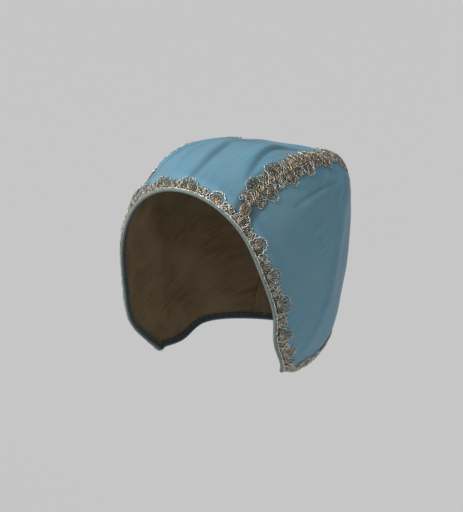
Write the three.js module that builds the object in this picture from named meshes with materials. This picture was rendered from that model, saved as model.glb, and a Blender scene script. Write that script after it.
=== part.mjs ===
// A small child's cap of three silk panels, lined, bound along its edges and trimmed with
// scalloped metal bobbin lace along the edges and over both seams.
// Millimetres, +Z up, the face opening towards -Y, the wearer's left towards +X.
// The origin is the inner top of the crown, where the cap sits on a head.
import * as THREE from 'three';

// Size of the silk's outer face, from the axis through both ears
const HALF_WIDTH = 67;
const HALF_DEPTH = 74;
const HALF_HEIGHT = 70;

// The binding draws the front edge in: how far, and how far back the silk bulges out again
const DRAWN_IN = 3;
const DRAWN_REACH = 6.5;

// Cloth
const SILK = 1.0;
const LINING = 1.0;
const PLY_GAP = 0.6;
const SEAM_GAP = 0.4;
const EDGE_GAP = 0.5;
const CENTRE_HALF = 45;

// Binding: its width outside, and the wider strip turned in over the lining
const BINDING_WIDTH = 1.6;
const TURN_IN = 4.5;

// Lace: full width at a fan, width between fans, length of one repeat and where the first fan
// stands. A repeat is a grid of cells from fan to fan. Each open cell is a column and a row.
const LACE = 0.9;
const LACE_GAP = 0.4;
const FRONT_LACE = { fan: 10.6, waist: 7.6, repeat: 19.6, first: 14.9, columns: 5, rows: 3,
  open: [[1, 1], [3, 1]] };
const SEAM_LACE = { fan: 10.8, waist: 7.4, repeat: 20.2, first: 31.5, columns: 5, rows: 4,
  open: [[1, 2], [3, 1]] };
const HEM_LACE = { fan: 6.8, waist: 5.2, repeat: 13, first: 19.2, columns: 3, rows: 3,
  open: [[1, 1]] };
const SEAM_SHIFT = 4;
const LACE_FOOT = 0.6;
const LACE_CLEAR = 2.8;

// Sections through the ear axis. angle: degrees round it, 0 at the back, 90 at the top.
// reach: share of the half depth and height. square: 2 is round, more is boxier.
const SECTIONS = [
  { angle: -110, reach: 1.22, square: 3.3 },
  { angle: -70, reach: 1.13, square: 2.55 },
  { angle: -35, reach: 0.95, square: 2.15 },
  { angle: -5, reach: 0.95, square: 2.1 },
  { angle: 20, reach: 1.05, square: 2.15 },
  { angle: 40, reach: 1.2, square: 2.4 },
  { angle: 56, reach: 1.165, square: 3.3 },
  { angle: 74, reach: 1.06, square: 3.3 },
  { angle: 98, reach: 1.11, square: 2.75 },
  { angle: 126, reach: 1.19, square: 2.1 },
  { angle: 155, reach: 1.29, square: 2.2 },
  { angle: 185, reach: 1.42, square: 2.4 },
  { angle: 215, reach: 1.49, square: 2.9 },
];

// Front edge seen from the side: shares of the half height and half depth
const FRONT_EDGE = [
  { height: -0.92, depth: -0.34 },
  { height: -0.63, depth: -0.575 },
  { height: -0.3, depth: -0.635 },
  { height: 0.1, depth: -0.75 },
  { height: 0.457, depth: -0.825 },
  { height: 0.8, depth: -0.92 },
];

// Bottom edge seen from the side, from the front corner to the nape
const HEM_EDGE = [
  { depth: -0.46, height: -0.935 },
  { depth: -0.18, height: -0.945 },
  { depth: 0.07, height: -0.92 },
  { depth: 0.34, height: -0.8 },
  { depth: 0.68, height: -0.76 },
];

// Seam: its distance from the middle plane, as a share of the centre panel's half width
const SEAM = [
  { angle: -60, across: 0.58 },
  { angle: -20, across: 0.6 },
  { angle: 10, across: 0.67 },
  { angle: 35, across: 0.84 },
  { angle: 52, across: 0.91 },
  { angle: 76, across: 0.98 },
  { angle: 99, across: 1.05 },
  { angle: 123, across: 0.97 },
  { angle: 150, across: 0.96 },
];

// Folds of the silk: a ridge along a path of [angle, lean], lean being degrees out of the
// middle plane. It rises softly over its width on one side and drops sharply on the other.
const FOLD_HEIGHT = 1.7;
const FOLD_WIDTH = 6;
const FOLD_FADE = 7;
const FOLDS = [
  { height: 1, width: 0.8,
    path: [[137, -25], [129, -28], [122, -28], [116, -26], [109, -24], [103, -19]] },
  { height: 1, width: 1.3, path: [[135, 2], [122, 2], [110, 1], [100, -1], [88, -3]] },
  { height: 1, width: 1.2, path: [[120, 24], [105, 21], [92, 19], [78, 18], [66, 21]] },
  { height: 0.6, width: 0.9, path: [[128, -9], [114, -11], [102, -9]] },
  { height: 0.9, width: 1.6, path: [[57, 42], [58, 62], [22, 80], [-88, 70], [-105, 55]] },
  { height: 0.6, width: 1, path: [[70, 50], [80, 53], [97, 55], [112, 55]] },
  { height: 0.8, width: 1.6, path: [[57, -42], [58, -62], [22, -80], [-88, -70], [-105, -55]] },
];

const COLOURS = {
  silk: { color: 0x5c87a0, roughness: 0.55, metalness: 0 },
  lining: { color: 0x6a5138, roughness: 0.9, metalness: 0 },
  binding: { color: 0x8fa39c, roughness: 0.7, metalness: 0 },
  lace: { color: 0x9a8a70, roughness: 0.45, metalness: 0.8 },
};

const radians = THREE.MathUtils.degToRad;
const degrees = THREE.MathUtils.radToDeg;
const HALF_SIZES = new THREE.Vector3(HALF_WIDTH, HALF_DEPTH, HALF_HEIGHT);

// Smooth value of one column of a table between its rows
function between(rows, place, at, column) {
  let i = 0;
  while (i < rows.length - 2 && at > rows[i + 1][place]) i++;
  const slope = (k) => {
    const before = rows[Math.max(k - 1, 0)];
    const after = rows[Math.min(k + 1, rows.length - 1)];
    return (after[column] - before[column]) / (after[place] - before[place]);
  };
  const step = rows[i + 1][place] - rows[i][place];
  const t = (at - rows[i][place]) / step;
  if (t < 0) return rows[i][column] + t * step * slope(i);
  if (t > 1) return rows[i + 1][column] + (t - 1) * step * slope(i + 1);
  const rise = t * t * (3 - 2 * t);
  const bend = t * (1 - t) * step;
  return rows[i][column] * (1 - rise) + rows[i + 1][column] * rise
    + bend * ((1 - t) * slope(i) - t * slope(i + 1));
}

// The value in [low, high] where a function changes sign
function solve(f, low, high) {
  const sign = Math.sign(f(low));
  for (let k = 0; k < 40; k++) {
    const middle = (low + high) / 2;
    if (Math.sign(f(middle)) === sign) low = middle;
    else high = middle;
  }
  return (low + high) / 2;
}

// The sections again, a turn before and after, so that the table closes on itself
const turned = (row, turn) => ({ ...row, angle: row.angle + turn });
const ROUND = [
  turned(SECTIONS.at(-1), -360),
  ...SECTIONS,
  turned(SECTIONS[0], 360),
  turned(SECTIONS[1], 360),
];

function angleOf(point) {
  const angle = degrees(Math.atan2(point.z / HALF_HEIGHT, point.y / HALF_DEPTH));
  return THREE.MathUtils.euclideanModulo(angle - SECTIONS[0].angle, 360) + SECTIONS[0].angle;
}

// Side-view distances of a point from the edges
const aboveHem = (point) =>
  point.z - HALF_HEIGHT * between(HEM_EDGE, 'depth', point.y / HALF_DEPTH, 'height');
const behindFace = (point) =>
  point.y - HALF_DEPTH * between(FRONT_EDGE, 'height', point.z / HALF_HEIGHT, 'depth');

// The point of the silk's outer face on the ray from the middle of the ear axis
function onBody(point) {
  const way = point.clone().divide(HALF_SIZES).normalize();
  const angle = angleOf(point);
  const reach = between(ROUND, 'angle', angle, 'reach');
  const square = between(ROUND, 'angle', angle, 'square');
  const inPlane = Math.hypot(way.y, way.z) / reach;
  const length = (inPlane ** square + Math.abs(way.x) ** square) ** (-1 / square);
  const body = way.multiplyScalar(length).multiply(HALF_SIZES);
  const back = Math.max(behindFace(body), 0);
  const drawn = DRAWN_IN * Math.exp(-((back / DRAWN_REACH) ** 2));
  return body.setLength(body.length() - drawn);
}

function atAngles(angle, lean) {
  const a = radians(angle);
  const l = radians(lean);
  const way = new THREE.Vector3(Math.sin(l), Math.cos(l) * Math.cos(a), Math.cos(l) * Math.sin(a));
  return onBody(way.multiply(HALF_SIZES));
}

function normalAt(point) {
  const away = point.clone().normalize();
  const side = new THREE.Vector3(away.z, away.x, away.y).cross(away).normalize();
  const other = away.clone().cross(side);
  const nudge = (way, by) => onBody(point.clone().addScaledVector(way, by));
  const along = nudge(side, 0.5).sub(nudge(side, -0.5));
  const across = nudge(other, 0.5).sub(nudge(other, -0.5));
  return along.cross(across).normalize();
}

// Lift a point of the body along its normal
function lifted(point, lift) {
  return point.clone().addScaledVector(normalAt(point), lift);
}

// The seam's distance from the middle plane at an angle
const seamAcross = (angle) => CENTRE_HALF * between(SEAM, 'angle', angle, 'across');

// Height of the silk's folds over the plain body. They die away beside every lace.
const foldPaths = FOLDS.map(({ path }) => path.map(([angle, lean]) => atAngles(angle, lean)));

function foldHeight(point) {
  const normal = normalAt(point);
  let total = 0;
  FOLDS.forEach((fold, f) => {
    const path = foldPaths[f];
    let best = { distance: Infinity };
    for (let i = 0; i + 1 < path.length; i++) {
      const along = path[i + 1].clone().sub(path[i]);
      const t = point.clone().sub(path[i]).dot(along) / along.lengthSq();
      const nearest = path[i].clone().addScaledVector(along, THREE.MathUtils.clamp(t, 0, 1));
      const offset = point.clone().sub(nearest).projectOnPlane(normal);
      if (offset.length() < best.distance) {
        const side = Math.sign(offset.dot(normal.clone().cross(along)));
        const share = THREE.MathUtils.clamp((i + t) / (path.length - 1), 0, 1);
        best = { distance: offset.length(), side, share };
      }
    }
    const width = FOLD_WIDTH * fold.width * (best.side > 0 ? 1 : 0.5);
    const swell = Math.sin(Math.PI * (0.12 + 0.76 * best.share));
    total += FOLD_HEIGHT * fold.height * swell * Math.exp(-((best.distance / width) ** 2));
  });
  const { smoothstep } = THREE.MathUtils;
  const seamOff = Math.abs(Math.abs(point.x) - seamAcross(angleOf(point)));
  return total * smoothstep(seamOff, SEAM_LACE.fan, SEAM_LACE.fan + FOLD_FADE)
    * smoothstep(behindFace(point), FRONT_LACE.fan, FRONT_LACE.fan + FOLD_FADE)
    * smoothstep(aboveHem(point), HEM_LACE.fan, HEM_LACE.fan + FOLD_FADE);
}

// Front edge: for each turn round the face, the point of the body on the edge's side view
function frontEdgePoint(turn) {
  const at = (out) => {
    const height = out * Math.cos(turn);
    const depth = HALF_DEPTH * between(FRONT_EDGE, 'height', height / HALF_HEIGHT, 'depth');
    return new THREE.Vector3(out * Math.sin(turn), depth, height);
  };
  const outside = (out) => at(out).length() - onBody(at(out)).length();
  return onBody(at(solve(outside, 1, 1.6 * HALF_WIDTH)));
}

// Bottom edge: the same, for each turn round the neck
function hemPoint(turn) {
  const at = (out) => {
    const depth = out * Math.cos(turn);
    const height = HALF_HEIGHT * between(HEM_EDGE, 'depth', depth / HALF_DEPTH, 'height');
    return new THREE.Vector3(out * Math.sin(turn), depth, height);
  };
  const outside = (out) => at(out).length() - onBody(at(out)).length();
  return onBody(at(solve(outside, 1, 1.6 * HALF_WIDTH)));
}

// Corner of the flap, where the front edge reaches the bottom edge
const frontTurn = solve((turn) => aboveHem(frontEdgePoint(turn)), 1.6, 2.9);
const hemTurn = solve((turn) => behindFace(hemPoint(turn)), 1.2, 2.9);

function curveThrough(pointAt, from, to, steps) {
  const points = [];
  for (let i = 0; i <= steps; i++) {
    points.push(pointAt(THREE.MathUtils.lerp(from, to, i / steps)));
  }
  const curve = new THREE.CatmullRomCurve3(points);
  curve.arcLengthDivisions = 20 * steps;
  return curve;
}

// Both edges run from the wearer's right corner to the left one
const frontCurve = curveThrough(frontEdgePoint, -frontTurn, frontTurn, 48);
const hemCurve = curveThrough(hemPoint, -hemTurn, hemTurn, 40);

// The point of the body at an angle and at a distance from the middle plane
function atAcross(angle, across) {
  const lean = solve((l) => atAngles(angle, l).x - across, -89, 89);
  return atAngles(angle, lean);
}

const outsideSeam = (point) => Math.abs(point.x) - seamAcross(angleOf(point));
const frontSeamAt = solve((u) => outsideSeam(frontCurve.getPointAt(u)), 0.5, 0.99);
const hemSeamAt = solve((u) => outsideSeam(hemCurve.getPointAt(u)), 0.5, 0.99);
const frontSeamAngle = angleOf(frontCurve.getPointAt(frontSeamAt));
const hemSeamAngle = angleOf(hemCurve.getPointAt(hemSeamAt));

// The wearer's left seam, from the front edge to the hem
const seamCurve = curveThrough(
  (angle) => atAcross(angle, seamAcross(angle)), frontSeamAngle, hemSeamAngle, 40);

// Band along a curve. It runs square to the curve and leans at its ends to follow the edge
// that it meets there: starts and ends are directions, or null where it stays square.
function bandAlong(curve, starts, ends) {
  const length = curve.getLength();
  const leanOver = Math.min(16, length / 4);
  return (along, out) => {
    const u = THREE.MathUtils.clamp(along / length, 0, 1);
    const foot = curve.getPointAt(u);
    const square = normalAt(foot).cross(curve.getTangentAt(u));
    const lean = (way, distance) => {
      if (!way) return;
      const share = 1 - THREE.MathUtils.smoothstep(distance, 0, leanOver);
      square.lerp(way, share).normalize();
    };
    lean(starts, along);
    lean(ends, length - along);
    return onBody(onBody(foot).addScaledVector(square, out));
  };
}

// Directions along each edge at the flaps' corners, away from the corner
const frontStart = frontCurve.getTangentAt(0);
const frontEnd = frontCurve.getTangentAt(1).negate();
const hemStart = hemCurve.getTangentAt(0);
const hemEnd = hemCurve.getTangentAt(1).negate();

// A positive distance from the front edge or the hem lies inside the cap's outline
const frontLength = frontCurve.getLength();
const hemLength = hemCurve.getLength();
const frontBand = bandAlong(frontCurve, hemStart, hemEnd);
const hemSquare = bandAlong(hemCurve, frontStart.clone().negate(), frontEnd.clone().negate());
const hemBand = (along, out) => hemSquare(along, -out);

// A closed solid from a sheet of body points: faces as triples, lifted to two heights
function solid(name, look, points, faces, top, bottom, folds = () => 0) {
  const heights = points.map(folds);
  const outer = points.map((p, i) => lifted(p, top + heights[i]));
  const inner = points.map((p, i) => lifted(p, bottom + heights[i]));
  const count = points.length;
  const used = new Set(faces.flatMap(([a, b, c]) => [`${a} ${b}`, `${b} ${c}`, `${c} ${a}`]));
  const triangles = [];
  for (const [a, b, c] of faces) {
    triangles.push(a, b, c, c + count, b + count, a + count);
    for (const [from, to] of [[a, b], [b, c], [c, a]]) {
      if (used.has(`${to} ${from}`)) continue;
      triangles.push(to, from, from + count, to, from + count, to + count);
    }
  }
  return mesh(name, look, [...outer, ...inner], triangles);
}

function mesh(name, look, points, triangles) {
  let volume = 0;
  for (let i = 0; i < triangles.length; i += 3) {
    const [a, b, c] = [0, 1, 2].map((k) => points[triangles[i + k]]);
    volume += a.dot(b.clone().cross(c));
  }
  const geometry = new THREE.BufferGeometry().setFromPoints(points);
  geometry.setIndex(volume < 0 ? [...triangles].reverse() : triangles);
  geometry.computeVertexNormals();
  const piece = new THREE.Mesh(geometry, new THREE.MeshStandardMaterial(COLOURS[look]));
  piece.name = name;
  return piece;
}

// The centre panel's sheet: columns across, rows from the front edge to the nape
function centreSheet(inset, columns, rows) {
  const points = [];
  const faces = [];
  const edgeAngle = (band, length, share) => {
    const offSeam = (along) => {
      const point = band(along, inset);
      return point.x - share * (seamAcross(angleOf(point)) - SEAM_GAP / 2);
    };
    return angleOf(band(solve(offSeam, 0.02 * length, 0.98 * length), inset));
  };
  for (let j = 0; j <= columns; j++) {
    const share = -1 + (2 * j) / columns;
    const first = edgeAngle(frontBand, frontLength, share);
    const last = edgeAngle(hemBand, hemLength, share);
    const line = curveThrough(
      (angle) => atAcross(angle, share * (seamAcross(angle) - SEAM_GAP / 2)), first, last, 40);
    for (let i = 0; i <= rows; i++) {
      points.push(onBody(line.getPointAt(i / rows)));
      const here = j * (rows + 1) + i;
      if (j === columns || i === rows) continue;
      const next = here + rows + 1;
      faces.push([here, next, next + 1], [here, next + 1, here + 1]);
    }
  }
  return { points, faces };
}

// A side panel's sheet: rings from the ear out to the seam, the hem and the front edge
function sideSheet(side, inset, steps, rings) {
  const seamSide = (point) => Math.abs(point.x) - seamAcross(angleOf(point)) - SEAM_GAP / 2;
  const meetsSeam = (band, length) => solve((along) => seamSide(band(along, inset)),
    0.5 * length, 0.98 * length);
  const mirror = (point) => point.setX(side * point.x);
  const frontFrom = meetsSeam(frontBand, frontLength);
  const hemFrom = meetsSeam(hemBand, hemLength);
  const edge = [];
  const run = (count, pointAt) => {
    for (let i = 0; i < count; i++) edge.push(mirror(pointAt(i / count)));
  };
  const firstAngle = angleOf(frontBand(frontFrom, inset));
  const lastAngle = angleOf(hemBand(hemFrom, inset));
  const seamLine = curveThrough(
    (angle) => atAcross(angle, seamAcross(angle) + SEAM_GAP / 2), firstAngle, lastAngle, 40);
  run(steps.seam, (t) => onBody(seamLine.getPointAt(t)));
  run(steps.hem, (t) => hemBand(THREE.MathUtils.lerp(hemFrom, hemLength - inset, t), inset));
  run(steps.front, (t) => frontBand(THREE.MathUtils.lerp(frontLength - inset, frontFrom, t), inset));
  const ear = new THREE.Vector3(side * HALF_WIDTH, 0, 0);
  const points = [ear];
  const faces = [];
  edge.forEach((rim, j) => {
    const next = (j + 1) % edge.length;
    const start = 1 + j * rings;
    const nextStart = 1 + next * rings;
    faces.push([0, start, nextStart]);
    const from = ear.clone().divide(HALF_SIZES).normalize();
    const to = rim.clone().divide(HALF_SIZES).normalize();
    const angle = from.angleTo(to);
    for (let i = 1; i <= rings; i++) {
      const share = (i / rings) ** 0.9;
      const way = from.clone().multiplyScalar(Math.sin((1 - share) * angle))
        .addScaledVector(to, Math.sin(share * angle));
      points.push(i === rings ? rim : onBody(way.multiply(HALF_SIZES)));
      if (i === rings) continue;
      faces.push([start + i - 1, start + i, nextStart + i],
        [start + i - 1, nextStart + i, nextStart + i - 1]);
    }
  });
  return { points, faces };
}

// A binding of L section swept along an edge: a thin outer leg and a wider strip inside
function binding(name, band, from, to, steps) {
  const inner = -(SILK + PLY_GAP);
  const section = [
    [0, 0], [BINDING_WIDTH, 0], [BINDING_WIDTH, inner], [TURN_IN, inner],
    [TURN_IN, inner - LINING], [0, inner - LINING],
  ];
  const points = [];
  const triangles = [];
  const n = section.length;
  for (let i = 0; i <= steps; i++) {
    const along = THREE.MathUtils.lerp(from, to, i / steps);
    section.forEach(([out, lift]) => points.push(lifted(band(along, out), lift)));
    if (i === steps) continue;
    for (let k = 0; k < n; k++) {
      const a = i * n + k;
      const b = i * n + ((k + 1) % n);
      triangles.push(a, b, b + n, a, b + n, a + n);
    }
  }
  const outline = section.map(([x, y]) => new THREE.Vector2(x, y));
  const cap = THREE.ShapeUtils.triangulateShape(outline, []);
  const last = steps * n;
  const forward = THREE.ShapeUtils.area(outline) < 0;
  for (const [a, b, c] of cap) {
    if (forward) triangles.push(a, b, c, last + c, last + b, last + a);
    else triangles.push(c, b, a, last + a, last + b, last + c);
  }
  return mesh(name, 'binding', points, triangles);
}

// Lace along a band out to its scalloped free edge, from its foot or, where a shift is given,
// from a second free edge whose fans stand that much further along
function laceAlong(name, lace, band, from, to, shift = null) {
  const { fan, waist, repeat, first, columns, rows, open } = lace;
  const cell = repeat / columns;
  const count = Math.max(columns, Math.round((to - from) / cell));
  const before = Math.round((from - first) / cell);
  const swing = (turn) => ((1 + Math.cos(2 * Math.PI * turn)) / 2) ** 1.4;
  const free = (along) => THREE.MathUtils.lerp(waist, fan, swing((along - first) / repeat));
  const points = [];
  const faces = [];
  for (let i = 0; i <= count; i++) {
    const along = THREE.MathUtils.lerp(from, to, i / count);
    const low = shift === null ? LACE_FOOT : -free(along - shift);
    for (let r = 0; r <= rows; r++) {
      points.push(band(along, THREE.MathUtils.lerp(low, free(along), r / rows)));
    }
    if (i === count) continue;
    const inRepeat = THREE.MathUtils.euclideanModulo(i + before, columns);
    for (let r = 0; r < rows; r++) {
      if (open.some(([column, row]) => column === inRepeat && row === r)) continue;
      const here = i * (rows + 1) + r;
      const next = here + rows + 1;
      faces.push([here, next, next + 1], [here, next + 1, here + 1]);
    }
  }
  return solid(name, 'lace', points, faces, LACE_GAP + LACE, LACE_GAP);
}

// The panels and their lining
const silkInset = BINDING_WIDTH + EDGE_GAP;
const liningInset = TURN_IN + EDGE_GAP;
const liningTop = -(SILK + PLY_GAP);
const liningBottom = liningTop - LINING;

const silkPanel = (name, { points, faces }) =>
  solid(name, 'silk', points, faces, 0, -SILK, foldHeight);
const liningPanel = (name, { points, faces }) =>
  solid(name, 'lining', points, faces, liningTop, liningBottom);

const silkSteps = { seam: 22, hem: 9, front: 16 };
const liningSteps = { seam: 12, hem: 9, front: 10 };
const panels = [
  silkPanel('centre_panel', centreSheet(silkInset, 16, 28)),
  silkPanel('side_panel_left', sideSheet(1, silkInset, silkSteps, 7)),
  silkPanel('side_panel_right', sideSheet(-1, silkInset, silkSteps, 7)),
  liningPanel('lining_centre', centreSheet(liningInset, 8, 14)),
  liningPanel('lining_left', sideSheet(1, liningInset, liningSteps, 4)),
  liningPanel('lining_right', sideSheet(-1, liningInset, liningSteps, 4)),
];

// Bindings: the front one runs to the bottom edge and the hem's one starts inside it
const hemBindingFrom = TURN_IN + EDGE_GAP;
const bindings = [
  binding('front_binding', frontBand, 0, frontLength, 48),
  binding('hem_binding', hemBand, hemBindingFrom, hemLength - hemBindingFrom, 29),
];

// Laces: the front lace runs to the bottom edge, and the others stop just short of it
const hemLaceFrom = FRONT_LACE.fan + LACE_CLEAR;

// The seams' lace ends follow the edges that they come to, whose ways are taken towards
// the band's own outer side. Side is 1 for the wearer's left and -1 for the right.
function seamLace(name, side) {
  const towards = (curve, at, end) => {
    const way = curve.getTangentAt(at);
    const outer = normalAt(seamCurve.getPointAt(end)).cross(seamCurve.getTangentAt(end));
    return way.multiplyScalar(Math.sign(way.dot(outer)));
  };
  const starts = towards(frontCurve, frontSeamAt, 0);
  const ends = towards(hemCurve, hemSeamAt, 1);
  const band = bandAlong(seamCurve, starts, ends);
  const mirrored = (along, out) => {
    const point = band(along, out);
    return point.setX(side * point.x);
  };
  const from = FRONT_LACE.fan + LACE_CLEAR;
  const to = seamCurve.getLength() - HEM_LACE.fan - LACE_CLEAR;
  return laceAlong(name, SEAM_LACE, mirrored, from, to, SEAM_SHIFT);
}

const laces = [
  laceAlong('front_lace', FRONT_LACE, frontBand, 0, frontLength),
  laceAlong('hem_lace', HEM_LACE, hemBand, hemLaceFrom, hemLength - hemLaceFrom),
  seamLace('seam_lace_left', 1),
  seamLace('seam_lace_right', -1),
];

// The cap hangs from the lining's inner face at the top of the crown
const seat = lifted(atAngles(90, 0), liningBottom);
const cap = new THREE.Group();
cap.add(...panels, ...bindings, ...laces);
cap.position.copy(seat).negate();

const group = new THREE.Group();
group.add(cap);
group.updateMatrixWorld(true);

export default group;
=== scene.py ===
import math

import bpy
import numpy as np
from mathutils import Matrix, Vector


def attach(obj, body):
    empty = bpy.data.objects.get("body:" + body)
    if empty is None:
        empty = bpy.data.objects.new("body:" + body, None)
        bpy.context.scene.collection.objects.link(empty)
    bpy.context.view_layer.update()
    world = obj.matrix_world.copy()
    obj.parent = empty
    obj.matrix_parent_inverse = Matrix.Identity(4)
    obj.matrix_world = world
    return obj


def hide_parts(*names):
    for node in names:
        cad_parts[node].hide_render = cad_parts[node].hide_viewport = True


# A baby's silk cap: cloth panels with their folds, lining, tape bindings and metal bobbin lace.
# Shapes are worked out in millimetres from the middle of the ear axis, with +Z up, the face
# opening towards -Y and the wearer's left towards +X, and are then put in the frame's metres.
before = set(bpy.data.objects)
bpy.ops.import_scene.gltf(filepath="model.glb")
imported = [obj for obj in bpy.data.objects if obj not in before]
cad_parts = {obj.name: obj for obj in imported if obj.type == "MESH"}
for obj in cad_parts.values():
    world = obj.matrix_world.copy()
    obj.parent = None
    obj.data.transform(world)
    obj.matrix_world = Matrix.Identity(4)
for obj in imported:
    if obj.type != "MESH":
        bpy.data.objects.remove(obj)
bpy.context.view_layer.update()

# Camera and stage, in metres and degrees, and the camera's sensor in millimetres
AZIMUTH, ELEVATION = 37.0, 12.0
CAMERA_DISTANCE = 2.34
CAMERA_TARGET = (0.0, -0.0100, -0.0716)
PICTURE_HALF_ANGLE = 4.067
FLOOR_HEIGHT = -0.36
FLOOR_HALF = 9.0
SENSOR = 24.0

# Half sizes of the silk's outer face, and how its front edge is drawn in
HALF = np.array([67.0, 74.0, 70.0])
DRAWN_IN = 3.0
DRAWN_REACH = 6.5

# Plies of the solids, and the thinner cloth that is seen
SILK = 1.0
LINING = 1.0
PLY_GAP = 0.6
SILK_SEEN = 0.45
LINING_SEEN = 0.5

# Cut: half width of the centre panel, distance of each ply from the edges, the slit at a seam,
# and how far the lining is drawn up to the silk at the edges
CENTRE_HALF = 45.0
SILK_INSET = 0.9
LINING_INSET = 3.2
SEAM_SLIT = 0.1
EDGE_DRAWN = 1.2
EDGE_REACH = 8.0

# Weave of the side panels: cosine and sine of its turn from upright
SIDE_WEAVE = (0.87, 0.5)

# Binding tape: thickness, steps across it, and its section from its outer edge round the cloth
# to its inner edge, as distance in from the cap's edge and height over the silk's outer face
TAPE = 0.36
TAPE_STEPS = 19
TAPE_SECTION = np.array([
    [1.9, 0.24], [1.3, 0.34], [0.5, 0.26], [0.05, -0.05], [-0.12, -0.5], [-0.12, -1.0],
    [0.1, -1.5], [0.7, -1.82], [1.7, -1.84], [2.6, -1.86], [3.5, -1.92],
])
STITCH_PITCH = 2.3

# Lace: width at a fan and between fans, length of one repeat, distance from the band's start to
# the first fan, distances from the band's ends, number of fans, ribs of a fan, place of the
# cord, and distance of a fan's base from the seam. The hem's fans are centred on its band.
FRONT_LACE = {
    "fan": 10.6, "waist": 7.6, "repeat": 19.6, "first": 14.9, "ends": (0.3, 0.3), "count": 16,
    "ribs": 10, "cord": 1.5,
}
HEM_LACE = {
    "fan": 6.8, "waist": 5.2, "repeat": 13.0, "ends": (5.6, 5.6), "count": 17, "ribs": 7,
    "cord": 1.1,
}
SEAM_LACE = {
    "fan": 10.8, "waist": 7.4, "repeat": 20.2, "first": 31.5, "ends": (8.6, 7.0), "ribs": 8,
    "base": 1.6,
}

# How far a seam's outer fans stand behind those on the crown's side, and how far the right
# laces stray from their seam and towards the front edge
SEAM_SHIFT = 4.0
RIGHT_SEAM_OFF = 4.5
RIGHT_FRONT_OFF = 0.9

# How far from the seams and from the front edge the laces hold the silk quite flat
LACE_HOLD = {"seam": 4.4, "front": 4.0}

# Shares of a repeat taken by half a fan and half an open ground, and of the waist by the footing
FAN_HALF = 0.29
GROUND_HALF = 0.16
FOOTING = 0.27

# Wound pairs of thread: radius of a thread, its distance from their middle, length of a twist
PAIRS = {
    "rib": (0.18, 0.17, 1.9),
    "scallop": (0.17, 0.17, 1.7),
    "tie": (0.17, 0.17, 2.0),
    "loop": (0.18, 0.17, 1.8),
    "cord": (0.24, 0.24, 2.6),
    "hatch": (0.2, 0.15, 1.9),
    "ring": (0.2, 0.18, 2.0),
    "barb": (0.18, 0.15, 1.9),
}

# Radii of single threads
MESH_WIRE = 0.17
WOVEN_WIRE = 0.16
NET_WIRE = 0.14
SEWING_THREAD = 0.14
BRAID_WIRE = 0.24

# Sections through the ear axis: angle round it (0 at the back, 90 at the top), reach as a
# share of the half depth and height, and squareness (2 is round)
SECTIONS = np.array([
    [-110, 1.22, 3.3], [-70, 1.13, 2.55], [-35, 0.95, 2.15], [-5, 0.95, 2.1], [20, 1.05, 2.15],
    [40, 1.2, 2.4], [56, 1.165, 3.3], [74, 1.06, 3.3], [98, 1.11, 2.75], [126, 1.19, 2.1],
    [155, 1.29, 2.2], [185, 1.42, 2.4], [215, 1.49, 2.9],
])

# Front edge from the side: shares of the half height and of the half depth
FRONT_EDGE = np.array([
    [-0.92, -0.34], [-0.63, -0.575], [-0.3, -0.635], [0.1, -0.75], [0.457, -0.825], [0.8, -0.92],
])

# Bottom edge from the side: shares of the half depth and of the half height
HEM_EDGE = np.array([
    [-0.46, -0.935], [-0.18, -0.945], [0.07, -0.92], [0.34, -0.8], [0.68, -0.76],
])

# Seam: angle, and distance from the middle plane as a share of the centre panel's half width
SEAM = np.array([
    [-60, 0.58], [-20, 0.6], [10, 0.67], [35, 0.84], [52, 0.91], [76, 0.98], [99, 1.05],
    [123, 0.97], [150, 0.96],
])

# Folds of the silk: height, width and a path of (angle, lean). A fold rises softly over its
# width on one side and drops sharply on the other.
FOLD_HEIGHT = 1.7
FOLD_WIDTH = 6.0
SHARP_SIDE = 0.36
FOLD_FADE = 4.0
FOLDS = [
    (0.8, 0.6, [(140, -24), (129, -29), (122, -29), (116, -27), (109, -25), (101, -20)]),
    (1.2, 1.3, [(136, 2), (122, 2), (110, 1), (101, -1), (88, -3)]),
    (1.25, 1.2, [(122, 24), (105, 21), (92, 19), (80, 19), (66, 25)]),
    (1.1, 1.9, [(96, -9), (80, -8), (64, -8)]),
    (0.7, 0.9, [(128, -9), (114, -11), (102, -9)]),
    (0.5, 0.8, [(134, 30), (118, 29), (104, 30)]),
    (1.2, 1.3, [(58, 44), (61, 58), (50, 70), (19, 80), (-40, 81), (-86, 69), (-107, 50)]),
    (0.35, 1.0, [(68, 50), (80, 53), (97, 55), (114, 55)]),
    (0.7, 2.0, [(48, -66), (30, -74), (0, -78), (-40, -79), (-80, -72)]),
]

# Sharp creases at the feet of folds: depth, width and a path of (angle, lean)
CREASES = [
    (1.5, 1.5, [(141, -20), (129, -25), (122, -25), (116, -23), (109, -21), (102, -16)]),
    (0.5, 1.6, [(137, 5), (122, 5), (110, 4), (101, 2)]),
    (0.6, 1.5, [(121, 27), (105, 24), (92, 22), (80, 22), (66, 28)]),
    (0.45, 1.2, [(66, 47), (80, 50), (97, 52), (114, 52)]),
]

# Height of the swellings behind the front edge and beside the seams, and of the small gathers
# there, with the number of gathers in a radian
PUFF = {"front": 1.1, "seam": 2.0}
PUCKER = {"front": 0.22, "seam": 0.2}
GATHERS = {"front": 9.20635, "seam": 13}


# Tables and curves

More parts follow.
